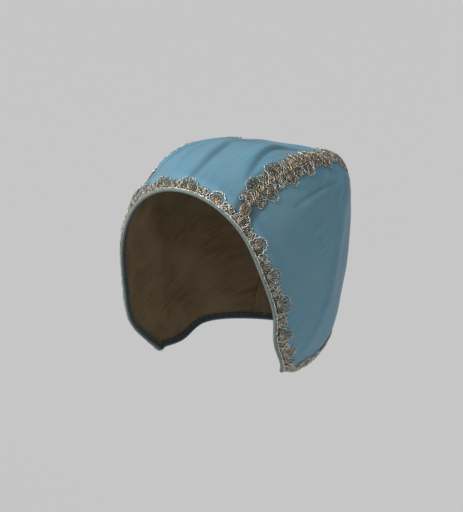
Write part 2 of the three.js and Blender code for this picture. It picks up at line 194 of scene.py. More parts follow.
def between(table, at, column=1):
    """Smooth value of a table's column between its rows, straight beyond its ends."""
    at = np.asarray(at, float)
    places, values = table[:, 0], table[:, column]
    ahead = np.append(np.arange(1, len(table)), len(table) - 1)
    behind = np.insert(np.arange(len(table) - 1), 0, 0)
    slopes = (values[ahead] - values[behind]) / (places[ahead] - places[behind])
    i = np.searchsorted(places[1:-1], at)
    step = places[i + 1] - places[i]
    t = (at - places[i]) / step
    inside = np.clip(t, 0, 1)
    rise = inside * inside * (3 - 2 * inside)
    bend = inside * (1 - inside) * step
    value = values[i] * (1 - rise) + values[i + 1] * rise
    value = value + bend * ((1 - inside) * slopes[i] - inside * slopes[i + 1])
    beyond = (t - inside) * step
    return value + beyond * np.where(t < 0, slopes[i], slopes[i + 1])


def solve(function, low, high):
    """Where a function of arrays changes sign between low and high."""
    low, high = np.array(low, float), np.array(high, float)
    sign = np.sign(function(low))
    for _ in range(34):
        middle = (low + high) / 2
        same = np.sign(function(middle)) == sign
        low = np.where(same, middle, low)
        high = np.where(same, high, middle)
    return (low + high) / 2


def unit(vectors):
    return vectors / np.linalg.norm(vectors, axis=-1, keepdims=True)


def smoothstep(value, low, high):
    t = np.clip((value - low) / (high - low), 0, 1)
    return t * t * (3 - 2 * t)


def run_lengths(points):
    steps = np.linalg.norm(np.diff(points, axis=0), axis=1)
    return np.insert(np.cumsum(steps), 0, 0)


# The body

ROUND = np.vstack([
    SECTIONS[-1] - [360, 0, 0],
    SECTIONS,
    SECTIONS[0] + [360, 0, 0],
    SECTIONS[1] + [360, 0, 0],
])


def angle_of(points):
    angle = np.degrees(np.arctan2(points[..., 2] / HALF[2], points[..., 1] / HALF[1]))
    return (angle - SECTIONS[0, 0]) % 360 + SECTIONS[0, 0]


def above_hem(points):
    return points[..., 2] - HALF[2] * between(HEM_EDGE, points[..., 1] / HALF[1])


def behind_face(points):
    return points[..., 1] - HALF[1] * between(FRONT_EDGE, points[..., 2] / HALF[2])


def on_body(points):
    """The silk's outer face on the rays from the middle of the ear axis."""
    way = unit(points / HALF)
    angle = angle_of(points)
    square = between(ROUND, angle, 2)
    in_plane = np.hypot(way[..., 1], way[..., 2]) / between(ROUND, angle, 1)
    length = (in_plane ** square + np.abs(way[..., 0]) ** square) ** (-1 / square)
    body = way * length[..., None] * HALF
    back = np.maximum(behind_face(body), 0)
    drawn = DRAWN_IN * np.exp(-((back / DRAWN_REACH) ** 2))
    size = np.linalg.norm(body, axis=-1)
    return body * ((size - drawn) / size)[..., None]


def at_angles(angle, lean):
    a, l = np.radians(angle), np.radians(lean)
    way = np.stack([np.sin(l) + 0 * a, np.cos(l) * np.cos(a), np.cos(l) * np.sin(a)], -1)
    return on_body(way * HALF)


def normals_at(points, nudge=0.5):
    away = unit(points)
    side = unit(np.cross(away[..., [2, 0, 1]], away))
    other = np.cross(away, side)
    along = on_body(points + nudge * side) - on_body(points - nudge * side)
    across = on_body(points + nudge * other) - on_body(points - nudge * other)
    return unit(np.cross(along, across))


def seam_across(angle):
    return CENTRE_HALF * between(SEAM, angle)


def at_across(angle, across):
    """The body at an angle and at a distance from the middle plane."""
    def off(lean):
        return at_angles(angle, lean)[..., 0] - across

    return at_angles(angle, solve(off, np.full_like(across, -89.0), np.full_like(across, 89.0)))


def rim_points(turns, edge, first, second):
    """The body where it meets a side-view edge, at turns round the face or the neck."""
    def at(out):
        one = out * np.cos(turns)
        two = HALF[second] * between(edge, one / HALF[first])
        points = np.zeros(turns.shape + (3,))
        points[..., 0] = out * np.sin(turns)
        points[..., first] = one
        points[..., second] = two
        return points

    def outside(out):
        points = at(out)
        return np.linalg.norm(points, axis=-1) - np.linalg.norm(on_body(points), axis=-1)

    return on_body(at(solve(outside, np.full_like(turns, 1.0), np.full_like(turns, 110.0))))


def front_points(turns):
    return rim_points(turns, FRONT_EDGE, 2, 1)


def hem_points(turns):
    return rim_points(turns, HEM_EDGE, 1, 2)


class Band:
    """A strip of the body beside a curve, mapped from distances along it and out from it."""

    LEAN_OVER = 16.0

    def __init__(self, points, starts=None, ends=None, sign=1):
        self.points = points
        self.places = run_lengths(points)
        self.length = self.places[-1]
        self.tangents = unit(np.gradient(points, self.places, axis=0))
        self.sign = sign
        square = np.cross(normals_at(points), self.tangents)
        reach = min(self.LEAN_OVER, self.length / 4)
        for way, distance in ((starts, self.places), (ends, self.length - self.places)):
            if way is None:
                continue
            share = (1 - smoothstep(distance, 0, reach))[:, None]
            square = unit(square * (1 - share) + way * share)
        self.squares = square

    def at(self, values, along):
        return np.stack([np.interp(along, self.places, values[:, k]) for k in range(3)], -1)

    def __call__(self, along, out):
        along, out = np.broadcast_arrays(np.asarray(along, float), np.asarray(out, float))
        foot = self.at(self.points, along)
        return on_body(foot + self.at(self.squares, along) * (self.sign * out)[..., None])


CURVE_POINTS = 1400
front_turn = float(solve(lambda turn: above_hem(front_points(turn)), [1.6], [2.9])[0])
hem_turn = float(solve(lambda turn: behind_face(hem_points(turn)), [1.2], [2.9])[0])
front_line = front_points(np.linspace(-front_turn, front_turn, CURVE_POINTS))
hem_line = hem_points(np.linspace(-hem_turn, hem_turn, CURVE_POINTS))
front_ways = Band(front_line).tangents
hem_ways = Band(hem_line).tangents
front_band = Band(front_line, hem_ways[0], -hem_ways[-1])
hem_band = Band(hem_line, -front_ways[0], front_ways[-1], -1)


def crossing(band):
    """Where the left seam crosses a band's curve, as a distance along it."""
    late = band.places > band.length / 2
    off = np.abs(band.points[late, 0]) - seam_across(angle_of(band.points[late]))
    if off[0] > 0:
        off = -off
    return float(np.interp(0, off, band.places[late]))


front_seam_at = crossing(front_band)
hem_seam_at = crossing(hem_band)
seam_angles = np.linspace(
    float(angle_of(front_band.at(front_line, front_seam_at))),
    float(angle_of(hem_band.at(hem_line, hem_seam_at))),
    CURVE_POINTS,
)
seam_line = at_across(seam_angles, seam_across(seam_angles))


def seam_band():
    plain = Band(seam_line)
    outer = np.cross(normals_at(seam_line[[0, -1]]), plain.tangents[[0, -1]])
    ways = [front_band.at(front_ways, front_seam_at), hem_band.at(hem_ways, hem_seam_at)]
    ways = [way * np.sign(way @ outer[k]) for k, way in enumerate(ways)]
    return Band(seam_line, *ways)


left_seam_band = seam_band()


# Relief of the silk over the plain body

def off_seam(points):
    """Distance from the nearer seam, straight across the cap."""
    return np.abs(np.abs(points[:, 0]) - seam_across(angle_of(points)))


def off_path(points, normals, path):
    """Distance from a path over the body, its side from -1 to 1, and the share of its length."""
    nodes = at_angles(*np.array(path, float).T)
    table = np.column_stack([np.arange(len(nodes)), nodes])
    steps = np.linspace(0, len(nodes) - 1, 3 * len(nodes) - 2)
    nodes = on_body(np.stack([between(table, steps, k) for k in (1, 2, 3)], -1))
    best = np.full(len(points), np.inf)
    side = np.zeros(len(points))
    share = np.zeros(len(points))
    for i in range(len(nodes) - 1):
        along = nodes[i + 1] - nodes[i]
        t = (points - nodes[i]) @ along / (along @ along)
        offset = points - nodes[i] - np.clip(t, 0, 1)[:, None] * along
        distance = np.linalg.norm(offset, axis=1)
        turned = np.sum(offset * np.cross(normals, along), axis=1)
        nearer = distance < best
        best = np.where(nearer, distance, best)
        side = np.where(nearer, turned / (np.linalg.norm(along) * distance + 1e-6), side)
        share = np.where(nearer, np.clip((i + t) / (len(nodes) - 1), 0, 1), share)
    return best, side, share


def fold_relief(points, normals):
    """Height of the folds over the body."""
    total = np.zeros(len(points))
    for height, width, path in FOLDS:
        distance, side, share = off_path(points, normals, path)
        reach = FOLD_WIDTH * width * (SHARP_SIDE + (1 - SHARP_SIDE) * (1 + side) / 2)
        swell = np.sin(math.pi * (0.12 + 0.76 * share))
        total += FOLD_HEIGHT * height * swell * np.exp(-((distance / reach) ** 2))
    return total


def crease_relief(points, normals):
    """Depth of the creases under the body."""
    total = np.zeros(len(points))
    for depth, width, path in CREASES:
        distance, _, share = off_path(points, normals, path)
        swell = np.sin(math.pi * (0.2 + 0.6 * share))
        total += depth * swell * np.exp(-((distance / width) ** 2))
    return total


def beside_lace(points):
    """0 under the laces, where the silk is held flat, and 1 away from them."""
    fade = 1.0
    for distance, hold in ((off_seam(points), LACE_HOLD["seam"]),
                           (behind_face(points), LACE_HOLD["front"]),
                           (above_hem(points), HEM_LACE["waist"])):
        fade = fade * smoothstep(distance, hold, hold + FOLD_FADE)
    return fade


def puff_relief(points):
    """The silk swells behind the drawn-in front edge and along the seams at the crown's back."""
    angle = angle_of(points)
    crown_back = smoothstep(angle, 30, 56) * (1 - smoothstep(angle, 72, 104))
    seam = crown_back * np.exp(-((off_seam(points) / 9) ** 2))
    front = np.exp(-(((behind_face(points) - 9) / 5) ** 2))
    return PUFF["seam"] * seam + PUFF["front"] * front


def waves(points, size, seed):
    """Soft unevenness from -1 to 1, about size across, from a few crossed waves."""
    random = np.random.default_rng(seed)
    total = np.zeros(len(points))
    for _ in range(9):
        way = unit(random.normal(size=3)) * 2 * math.pi / (size * random.uniform(1.3, 2.6))
        total += np.sin(points @ way + random.uniform(0, 2 * math.pi))
    return total / 4


def pucker_relief(points):
    """Small gathers where the lace is sewn on, square to its edges."""
    turn = np.arctan2(points[:, 0], points[:, 2])
    front = np.sin(turn * GATHERS["front"] + 1.6 * np.sin(3 * turn))
    front = front * np.exp(-((behind_face(points) - 9) / 9) ** 2)
    angle = np.radians(angle_of(points))
    off_ear = np.hypot(points[:, 1], points[:, 2])
    seam = np.sin(angle * GATHERS["seam"] + 2.2 * np.sin(angle * 3))
    seam = seam * np.exp(-((off_seam(points) - 9) / 8) ** 2) * smoothstep(off_ear, 20, 45)
    return PUCKER["front"] * front + PUCKER["seam"] * seam


def relief(points):
    normals = normals_at(points)
    folded = fold_relief(points, normals) - crease_relief(points, normals)
    soft = 0.22 * waves(points, 26, 3) + 0.07 * waves(points, 9, 5)
    return folded * beside_lace(points) + puff_relief(points) + pucker_relief(points) + soft


SEAT = at_angles(np.array([90.0]), np.array([0.0]))
SEAT = (SEAT - normals_at(SEAT) * (SILK + PLY_GAP + LINING))[0]


# Meshes

def make_mesh(name, points, faces, material, uv=None, colours=None):
    """An object from points in millimetres. uv and colours hold one row for each point."""
    mesh = bpy.data.meshes.new(name)
    mesh.from_pydata(((points - SEAT) / 1000).tolist(), [], faces)
    mesh.shade_smooth()
    if uv is not None:
        corners = np.zeros(len(mesh.loops), dtype=np.int32)
        mesh.loops.foreach_get("vertex_index", corners)
        layer = mesh.uv_layers.new(name="UVMap")
        layer.data.foreach_set("uv", uv[corners].astype(np.float32).ravel())
    if colours is not None:
        layer = mesh.color_attributes.new("tone", "FLOAT_COLOR", "POINT")
        rows = np.column_stack([colours, np.ones(len(colours))])
        layer.data.foreach_set("color", rows.astype(np.float32).ravel())
    mesh.materials.append(material)
    piece = bpy.data.objects.new(name, mesh)
    bpy.context.scene.collection.objects.link(piece)
    return piece


def closed_cloth(name, outer, inner, faces, material, uv, colours=None):
    """Two layers of the same faces, closed all round their free edges."""
    count = len(outer)
    under = [tuple(corner + count for corner in reversed(face)) for face in faces]
    edges = {(face[k], face[(k + 1) % len(face)]) for face in faces for k in range(len(face))}
    rim = [(b, a, a + count, b + count) for a, b in edges if (b, a) not in edges]
    points = np.vstack([outer, inner])
    uv = np.vstack([uv, uv])
    colours = None if colours is None else np.vstack([colours, colours])
    return make_mesh(name, points, faces + under + rim, material, uv, colours)


def grid_faces(rows, columns):
    here = np.arange(rows * columns).reshape(rows, columns)
    quads = np.stack([here[:-1, :-1], here[1:, :-1], here[1:, 1:], here[:-1, 1:]], -1)
    return [tuple(face) for face in quads.reshape(-1, 4).tolist()]


# Sheets of the body

def share_line(band, inset):
    """Across the centre panel's edge: the share of the way to the seams, and the angle."""
    along = np.linspace(0, band.length, CURVE_POINTS)
    points = band(along, inset)
    angle = angle_of(points)
    share = points[:, 0] / seam_across(angle)
    first = np.nonzero(share[: CURVE_POINTS // 2] <= -1)[0][-1]
    last = CURVE_POINTS // 2 + np.nonzero(share[CURVE_POINTS // 2:] >= 1)[0][0]
    return share[first:last + 1], angle[first:last + 1]


def centre_sheet(inset, columns, rows, gap):
    """Points, faces and cloth places of the centre panel, from its front edge to the nape."""
    shares = np.linspace(-1, 1, columns)
    first = np.interp(shares, *share_line(front_band, inset))
    last = np.interp(shares, *share_line(hem_band, inset))
    share = np.repeat(shares, rows)
    t = np.tile(np.linspace(0, 1, rows), columns)
    angle = np.repeat(first, rows) * (1 - t) + np.repeat(last, rows) * t
    points = at_across(angle, share * (seam_across(angle) - gap / 2))
    middle = at_across(np.linspace(first[columns // 2], last[columns // 2], rows), np.zeros(rows))
    uv = np.column_stack([points[:, 0], np.tile(run_lengths(middle), columns)])
    return points, grid_faces(columns, rows), uv


def side_sheet(side, inset, steps, rings, gap):
    """The same for a side panel, as rings from the ear to the seam, the hem and the front."""
    along = np.linspace(0, 1, CURVE_POINTS)

    def from_seam(band):
        places = band.length * (0.5 + 0.48 * along)
        points = band(places, inset)
        off = np.abs(points[:, 0]) - seam_across(angle_of(points)) - gap / 2
        index = np.nonzero(off > 0)[0]
        start = index[0] if off[0] < 0 else index[-1]
        return places[start]

    front_from, hem_from = from_seam(front_band), from_seam(hem_band)
    corner_angles = [float(angle_of(band(place, inset)))
                     for band, place in ((front_band, front_from), (hem_band, hem_from))]
    shares = [np.arange(count) / count for count in steps]
    angles = corner_angles[0] + (corner_angles[1] - corner_angles[0]) * shares[0]
    hem_places = hem_from + (hem_band.length - inset - hem_from) * shares[1]
    flap = front_band.length - inset
    front_places = flap + (front_from - flap) * shares[2]
    rim = np.vstack([
        at_across(angles, seam_across(angles) + gap / 2),
        hem_band(hem_places, inset),
        front_band(front_places, inset),
    ])
    count = len(rim)
    ear = unit(np.array([[1.0, 0.0, 0.0]]))
    ways = unit(rim / HALF)
    turn = np.arccos(np.clip(ways @ ear[0], -1, 1))[:, None, None]
    share = ((np.arange(1, rings + 1) / rings) ** 0.9)[None, :, None]
    way = ear * np.sin((1 - share) * turn) + ways[:, None, :] * np.sin(share * turn)
    points = on_body(way * HALF)
    points[:, -1] = rim
    points = np.vstack([[HALF[0], 0, 0], points.reshape(-1, 3)])
    points[0] = on_body(points[:1])[0]
    faces = []
    for j in range(count):
        start, following = 1 + j * rings, 1 + (j + 1) % count * rings
        faces.append((0, start, following))
        for i in range(1, rings):
            faces.append((start + i - 1, start + i, following + i, following + i - 1))
    (one, two), (_, y, z) = SIDE_WEAVE, points.T
    uv = np.column_stack([one * z - two * y, two * z + one * y])
    if side < 0:
        points = points * [-1, 1, 1]
        faces = [tuple(reversed(face)) for face in faces]
    return points, faces, uv


def lace_shade(points):
    """1 under the laces, where tarnish and painted shade darken the silk, and 0 away from them."""
    shade = np.zeros(len(points))
    for off, lace, soft in ((off_seam(points), SEAM_LACE, 3.0), (behind_face(points), FRONT_LACE, 3.0),
                            (above_hem(points), HEM_LACE, 2.5)):
        under = 1 - smoothstep(off, lace["waist"] - soft, lace["waist"] - 0.5)
        shade = np.maximum(shade, under)
    return shade


# Materials

# Scale at which a wave texture has one band for each unit
ONE_WAVE = 0.314


def new_material(name, roughness, metallic=0.0, specular=0.5, sheen=0.0):
    material = bpy.data.materials.new(name)
    material.use_nodes = True
    shader = material.node_tree.nodes["Principled BSDF"]
    shader.inputs["Roughness"].default_value = roughness
    shader.inputs["Metallic"].default_value = metallic
    shader.inputs["Specular IOR Level"].default_value = specular
    shader.inputs["Sheen Weight"].default_value = sheen
    return material, material.node_tree, shader


def add(tree, kind, sockets=None, **settings):
    made = tree.nodes.new(kind)
    for key, value in settings.items():
        setattr(made, key, value)
    for key, value in (sockets or {}).items():
        if isinstance(value, bpy.types.NodeSocket):
            tree.links.new(value, made.inputs[key])
        else:
            made.inputs[key].default_value = value
    return made


def cloth_place(tree, stretch):
    """Cloth coordinates in millimetres, squeezed or stretched along the weave."""
    uv = add(tree, "ShaderNodeUVMap", uv_map="UVMap")
    return add(tree, "ShaderNodeMapping", {"Vector": uv.outputs["UV"], "Scale": stretch})


def noise(tree, stretch, scale=1.0, detail=3.0):
    place = cloth_place(tree, stretch)
    made = add(tree, "ShaderNodeTexNoise", {
        "Vector": place.outputs["Vector"], "Scale": scale, "Detail": detail})
    return made.outputs["Fac"]


def mix(tree, share, one, two, blend="MIX"):
    made = add(tree, "ShaderNodeMix", data_type="RGBA", blend_type=blend)
    for socket, value in ((made.inputs[0], share), (made.inputs[6], one), (made.inputs[7], two)):
        if isinstance(value, bpy.types.NodeSocket):
            tree.links.new(value, socket)
        else:
            socket.default_value = value
    return made.outputs[2]


def spread(tree, value, low, high, to_low=0.0, to_high=1.0):
    made = add(tree, "ShaderNodeMapRange", {
        "Value": value, "From Min": low, "From Max": high, "To Min": to_low, "To Max": to_high})
    return made.outputs["Result"]


def weave_height(tree, rib, thread):
    """Ribs across the cloth's length with a finer thread along it, at these spacings."""
    ribs = add(tree, "ShaderNodeTexWave", {
        "Vector": cloth_place(tree, (0.0, 1.0 / rib, 0.0)).outputs["Vector"],
        "Scale": ONE_WAVE, "Distortion": 0.6, "Detail": 1.0}, bands_direction="Y")
    threads = add(tree, "ShaderNodeTexWave", {
        "Vector": cloth_place(tree, (1.0 / thread, 0.0, 0.0)).outputs["Vector"],
        "Scale": ONE_WAVE, "Distortion": 0.8, "Detail": 1.0})
    both = add(tree, "ShaderNodeMath", {0: ribs.outputs["Fac"], 1: threads.outputs["Fac"]},
               operation="ADD")
    return both.outputs[0]


def bump(tree, shader, height, strength, distance):
    made = add(tree, "ShaderNodeBump", {
        "Height": height, "Strength": strength, "Distance": distance})
    tree.links.new(made.outputs["Normal"], shader.inputs["Normal"])


def silk_material():
    """Tone attribute: tarnish and painted shade under the laces in red, painted crease shade in green.
    """
    material, tree, shader = new_material("faded_blue_silk", 0.5, specular=0.22, sheen=0.03)
    slubs = noise(tree, (0.75, 0.035, 1.0), 1.0, 4.0)
    fading = noise(tree, (0.03, 0.03, 1.0), 1.0, 3.0)
    colour = mix(tree, spread(tree, slubs, 0.3, 0.7), (0.108, 0.27, 0.37, 1),
                 (0.165, 0.342, 0.45, 1))
    faded = mix(tree, spread(tree, fading, 0.35, 0.7), colour, (0.17, 0.32, 0.40, 1))
    shade = add(tree, "ShaderNodeVertexColor", layer_name="tone")
    part = add(tree, "ShaderNodeSeparateColor", {"Color": shade.outputs["Color"]})
    # Painted shade: the silk is darkened under the laces, partly for tarnish stains, partly for the
    # threads' shade
    under = spread(tree, part.outputs["Red"], 0.0, 1.0, 0.0, 0.62)
    tarnish_and_painted_shade = mix(tree, under, faded, (0.055, 0.075, 0.075, 1))
    # Painted shade: the silk is darkened along the creases
    painted_crease_shade = spread(tree, part.outputs["Green"], 0.0, 1.0, 0.0, 0.75)
    shaded = mix(tree, painted_crease_shade, tarnish_and_painted_shade, (0.05, 0.11, 0.16, 1))
    tree.links.new(shaded, shader.inputs["Base Color"])
    bump(tree, shader, weave_height(tree, 0.42, 0.3), 0.25, 0.00008)
    return material


def lining_material():
    material, tree, shader = new_material("brown_lining", 0.85, specular=0.2)
    slubs = noise(tree, (0.6, 0.05, 1.0), 1.0, 4.0)
    patches = noise(tree, (0.04, 0.04, 1.0), 1.0, 3.0)
    colour = mix(tree, spread(tree, slubs, 0.3, 0.7), (0.16, 0.115, 0.06, 1), (0.24, 0.175, 0.1, 1))
    wear_and_painted_glints = mix(tree, spread(tree, patches, 0.4, 0.7), colour, (0.27, 0.21, 0.13, 1))
    tree.links.new(wear_and_painted_glints, shader.inputs["Base Color"])
    bump(tree, shader, weave_height(tree, 0.5, 0.5), 0.5, 0.00015)
    return material


def binding_material():
    """Faded outside and darker where turned in, for its own colour and painted shade, which its cloth
    place tells.
    """
    material, tree, shader = new_material("tape", 0.65, specular=0.2)
    slubs = noise(tree, (0.9, 0.3, 1.0), 1.0, 4.0)
    wear = noise(tree, (0.05, 0.3, 1.0), 1.0, 2.0)
    colour = mix(tree, spread(tree, slubs, 0.3, 0.7), (0.15, 0.2, 0.19, 1), (0.25, 0.3, 0.28, 1))
    wear_and_painted_glints = mix(tree, spread(tree, wear, 0.5, 0.75), colour, (0.26, 0.29, 0.26, 1))
    across = add(tree, "ShaderNodeSeparateXYZ", {0: cloth_place(tree, (1, 1, 1)).outputs["Vector"]})
    # Painted shade: the turned-in tape is darker, partly its own colour, partly shade inside the cap
    turned_in = spread(tree, across.outputs["Y"], 2.2, 3.8)
    both = mix(tree, turned_in, wear_and_painted_glints, (0.06, 0.09, 0.105, 1))
    tree.links.new(both, shader.inputs["Base Color"])
    bump(tree, shader, weave_height(tree, 0.55, 0.4), 0.5, 0.00012)
    return material


def thread_material():
    material, tree, shader = new_material("tarnished_silver_gilt", 0.36, metallic=0.85)
    tone = add(tree, "ShaderNodeVertexColor", layer_name="tone")
    tarnish = noise(tree, (0.35, 1.0, 1.0), 1.0, 4.0)
    colour = mix(tree, spread(tree, tarnish, 0.45, 0.75, 0.0, 0.8), tone.outputs["Color"],
                 (0.10, 0.085, 0.06, 1))
    tree.links.new(colour, shader.inputs["Base Color"])
    winding = add(tree, "ShaderNodeTexWave", {
        "Vector": cloth_place(tree, (3.0, 1.0, 0.0)).outputs["Vector"],
        "Scale": ONE_WAVE, "Distortion": 0.0}, bands_direction="DIAGONAL")
    bump(tree, shader, winding.outputs["Fac"], 0.5, 0.0001)
    return material


SILK_LOOK = silk_material()
LINING_LOOK = lining_material()
BINDING_LOOK = binding_material()
THREAD_LOOK = thread_material()


# Cloth pieces

def finish_piece(piece, slot, *nodes):
    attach(piece, "root")
    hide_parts(*nodes)
    return piece


def silk_panel(name, node, sheet):
    points, faces, uv = sheet
    normals = normals_at(points)
    lift = relief(points)[:, None]
    # Tone colours: tarnish and painted shade under the laces, painted shade along the creases
    painted_crease_shade = np.clip(crease_relief(points, normals), 0, 1) * beside_lace(points)
    colours = np.column_stack([lace_shade(points), painted_crease_shade, painted_crease_shade])
    piece = closed_cloth(name, points + normals * lift, points + normals * (lift - SILK_SEEN),
                         faces, SILK_LOOK, uv, colours)
    return finish_piece(piece, "silk", node)


def lining_panel(name, node, sheet):
    points, faces, uv = sheet
    normals = normals_at(points)
    seam_groove = 0.45 * np.exp(-((off_seam(points) / 1.1) ** 2))
    edge_off = np.minimum(behind_face(points), above_hem(points))
    drawn_up = EDGE_DRAWN * np.exp(-((edge_off / EDGE_REACH) ** 2))
    inner = seam_groove + drawn_up + 0.12 * waves(points, 14, 11) - (SILK + PLY_GAP + LINING)
    inner = inner[:, None]
    piece = closed_cloth(name, points + normals * (inner + LINING_SEEN), points + normals * inner,
                         faces, LINING_LOOK, uv)
    return finish_piece(piece, "lining", node)


# Steps of the meshes: across and along a centre panel, then along a side panel's seam, hem and
# front, and its rings
SILK_STEPS = {"centre": (101, 191), "side": ((150, 52, 88), 52)}
LINING_STEPS = {"centre": (61, 111), "side": ((90, 36, 56), 34)}
centre_silk = silk_panel("centre_silk", "centre_panel",
                         centre_sheet(SILK_INSET, *SILK_STEPS["centre"], SEAM_SLIT))
left_silk = silk_panel("left_silk", "side_panel_left",
                       side_sheet(1, SILK_INSET, *SILK_STEPS["side"], SEAM_SLIT))
right_silk = silk_panel("right_silk", "side_panel_right",
                        side_sheet(-1, SILK_INSET, *SILK_STEPS["side"], SEAM_SLIT))
lining_pieces = [
    lining_panel("crown_lining", "lining_centre",
                 centre_sheet(LINING_INSET, *LINING_STEPS["centre"], SEAM_SLIT)),
    lining_panel("left_lining", "lining_left",
                 side_sheet(1, LINING_INSET, *LINING_STEPS["side"], SEAM_SLIT)),
    lining_panel("right_lining", "lining_right",
                 side_sheet(-1, LINING_INSET, *LINING_STEPS["side"], SEAM_SLIT)),
]


def binding(name, node, band, ends, steps, phase):
    """A woven tape folded over an edge, drawn in a little by its stitches."""
    section_places = run_lengths(TAPE_SECTION)
    fine = np.linspace(0, section_places[-1], TAPE_STEPS)
    middle = np.column_stack([np.interp(fine, section_places, TAPE_SECTION[:, k]) for k in (0, 1)])
    middle[1:-1] = (middle[:-2] + 2 * middle[1:-1] + middle[2:]) / 4
    way = unit(np.gradient(middle, axis=0))
    off = np.column_stack([-way[:, 1], way[:, 0]]) * TAPE / 2
    along = np.linspace(ends, band.length - ends, steps)
    layers = []
    for section in (middle + off, middle - off):
        out = np.tile(section[:, 0], steps)
        height = np.tile(section[:, 1], steps)
        places = np.repeat(along, len(fine))
        drawn = 0.09 * np.sin(2 * math.pi * places / 3.1) + 0.06 * np.sin(places * 0.9 + phase)
        outward = np.where(height > -0.8, 1, -1)
        points = band(places, out + drawn * (out > 1.5))
        layers.append(points + normals_at(points) * (height + drawn * 0.5 * outward)[:, None])
    uv = np.column_stack([np.repeat(along, len(fine)), np.tile(fine, steps)])
    piece = closed_cloth(name, layers[0], layers[1], grid_faces(steps, len(fine)), BINDING_LOOK, uv)
    return finish_piece(piece, "binding", node)


front_tape = binding("front_tape", "front_binding", front_band, 0.0, 420, 1)
hem_tape = binding("hem_tape", "hem_binding", hem_band, 0.6, 220, 2)


# Lace

TONES = {
    "bright": (0.95, 0.9, 0.74),
    "silver": (0.55, 0.53, 0.44),
    "rose": (0.46, 0.34, 0.26),
    "gold": (0.62, 0.45, 0.22),
    "dark": (0.12, 0.11, 0.085),
}


class Lace:
    """Threads on a band. A path holds rows of distance along, distance out and height."""

    SIDES = 4

    def __init__(self, band, seed):
        self.band = band
        self.random = np.random.default_rng(seed)
        self.paths, self.radii, self.tones = [], [], []

    def any_of(self, *tones):
        return tones[int(self.random.integers(len(tones)))]

    def thread(self, path, radius, tone):
        """One metal thread, brighter and duller along its length: painted glints of its winding."""
        # Painted glints: the thread's colour is raised and lowered in spots along its length
        wear_and_painted_glints = np.exp(self.random.normal(0, 0.56, len(path)) + self.random.normal(0, 0.2))
        self.paths.append(np.asarray(path, float))
        self.radii.append(radius)
        self.tones.append(np.array(TONES[tone]) * np.clip(wear_and_painted_glints, 0.25, 1.6)[:, None])

    def pair(self, path, kind, tones):
        """Two threads wound about one another along a path."""
        radius, spread, twist = PAIRS[kind]
        way = unit(np.gradient(path[:, :2], axis=0) + 1e-9)
        across = np.column_stack([-way[:, 1], way[:, 0]])
        places = run_lengths(path)
        start = self.random.uniform(0, 2 * math.pi)
        for k in range(2):
            phase = start + 2 * math.pi * (places / twist + k / 2)
            moved = path.copy()
            moved[:, :2] += across * (spread * np.cos(phase))[:, None]
            moved[:, 2] += 0.8 * spread * np.sin(phase)
            self.thread(moved, radius, self.any_of(*tones))

    def build(self, name, slot, *nodes):
        """One mesh of closed tubes, which for lace are laid on the silk's relief."""
        rows = np.vstack(self.paths)
        feet = self.band(rows[:, 0], rows[:, 1])
        normals = normals_at(feet)
        lift = rows[:, 2] + (relief(feet) if slot == "lace" else 0)
        world = feet + normals * lift[:, None]
        turn = (np.arange(self.SIDES) + 0.5) * 2 * math.pi / self.SIDES
        points, faces, uv, colours = [], [], [], []
        first, done = 0, 0
        for path, radius, tone in zip(self.paths, self.radii, self.tones):
            count = len(path)
            line, up = world[first:first + count], normals[first:first + count]
            first += count
            side = unit(np.cross(unit(np.gradient(line, axis=0)), up))
            ring = side[:, None] * np.cos(turn)[:, None] + up[:, None] * np.sin(turn)[:, None]
            points.append((line[:, None] + radius * ring).reshape(-1, 3))
            grid = done + np.arange(count * self.SIDES).reshape(count, self.SIDES)
            around = np.roll(grid, -1, axis=1)
            quads = np.stack([grid[:-1], grid[1:], around[1:], around[:-1]], -1)
            faces += [tuple(face) for face in quads.reshape(-1, 4).tolist()]
            faces += [tuple(grid[0].tolist()), tuple(grid[-1][::-1].tolist())]
            places = np.repeat(run_lengths(line), self.SIDES)
            uv.append(np.column_stack([places, np.tile(np.arange(self.SIDES) / self.SIDES, count)]))
            colours.append(np.repeat(tone, self.SIDES, axis=0))
            done += count * self.SIDES
        piece = make_mesh(name, np.vstack(points), faces, THREAD_LOOK, np.vstack(uv),
                          np.vstack(colours))
        return finish_piece(piece, slot, *nodes)


def line(start, end, step=0.5, low=0.5, arch=0.3):
    """A straight thread, lifted a little in its middle."""
    start, end = np.array(start, float), np.array(end, float)
    count = max(4, int(np.linalg.norm(end - start) / step) + 1)
    t = np.linspace(0, 1, count)
    place = start + (end - start) * t[:, None]
    return np.column_stack([place, low + arch * np.sin(math.pi * t)])


def arc(centre, radii, start, end, step=0.5, height=0.6):
    """Part of an ellipse, its angles in degrees from straight out, towards the band's end."""
    count = max(5, int(abs(math.radians(end - start)) * max(np.abs(radii)) / step) + 1)
    turn = np.radians(np.linspace(start, end, count))
    return np.column_stack([
        centre[0] + radii[0] * np.sin(turn), centre[1] + radii[1] * np.cos(turn),
        np.full(count, height),
    ])


def mesh_hole(lace, centre, radius):
    """An open mesh with four to six soft corners, as pulled threads leave it."""
    centre = np.array(centre)
    corners = int(lace.random.integers(4, 7))
    turned = lace.random.uniform(0, 6)
    for grown, height in ((0.0, 0.45), (0.25, 0.75)):
        path = arc(centre, (radius + grown, radius + grown), 0, 360, 0.4, height)
        turns = np.linspace(0, 2 * math.pi, len(path))
        pulled = 1 + 0.16 * np.cos(corners * turns + turned) + 0.12 * np.cos(2 * turns + 2 * turned)
        path[:, :2] = centre + (path[:, :2] - centre) * pulled[:, None]
        path[:, 2] += 0.2 * np.sin(3 * turns + turned)
        lace.thread(path, MESH_WIRE, lace.any_of("bright", "silver", "silver", "rose"))


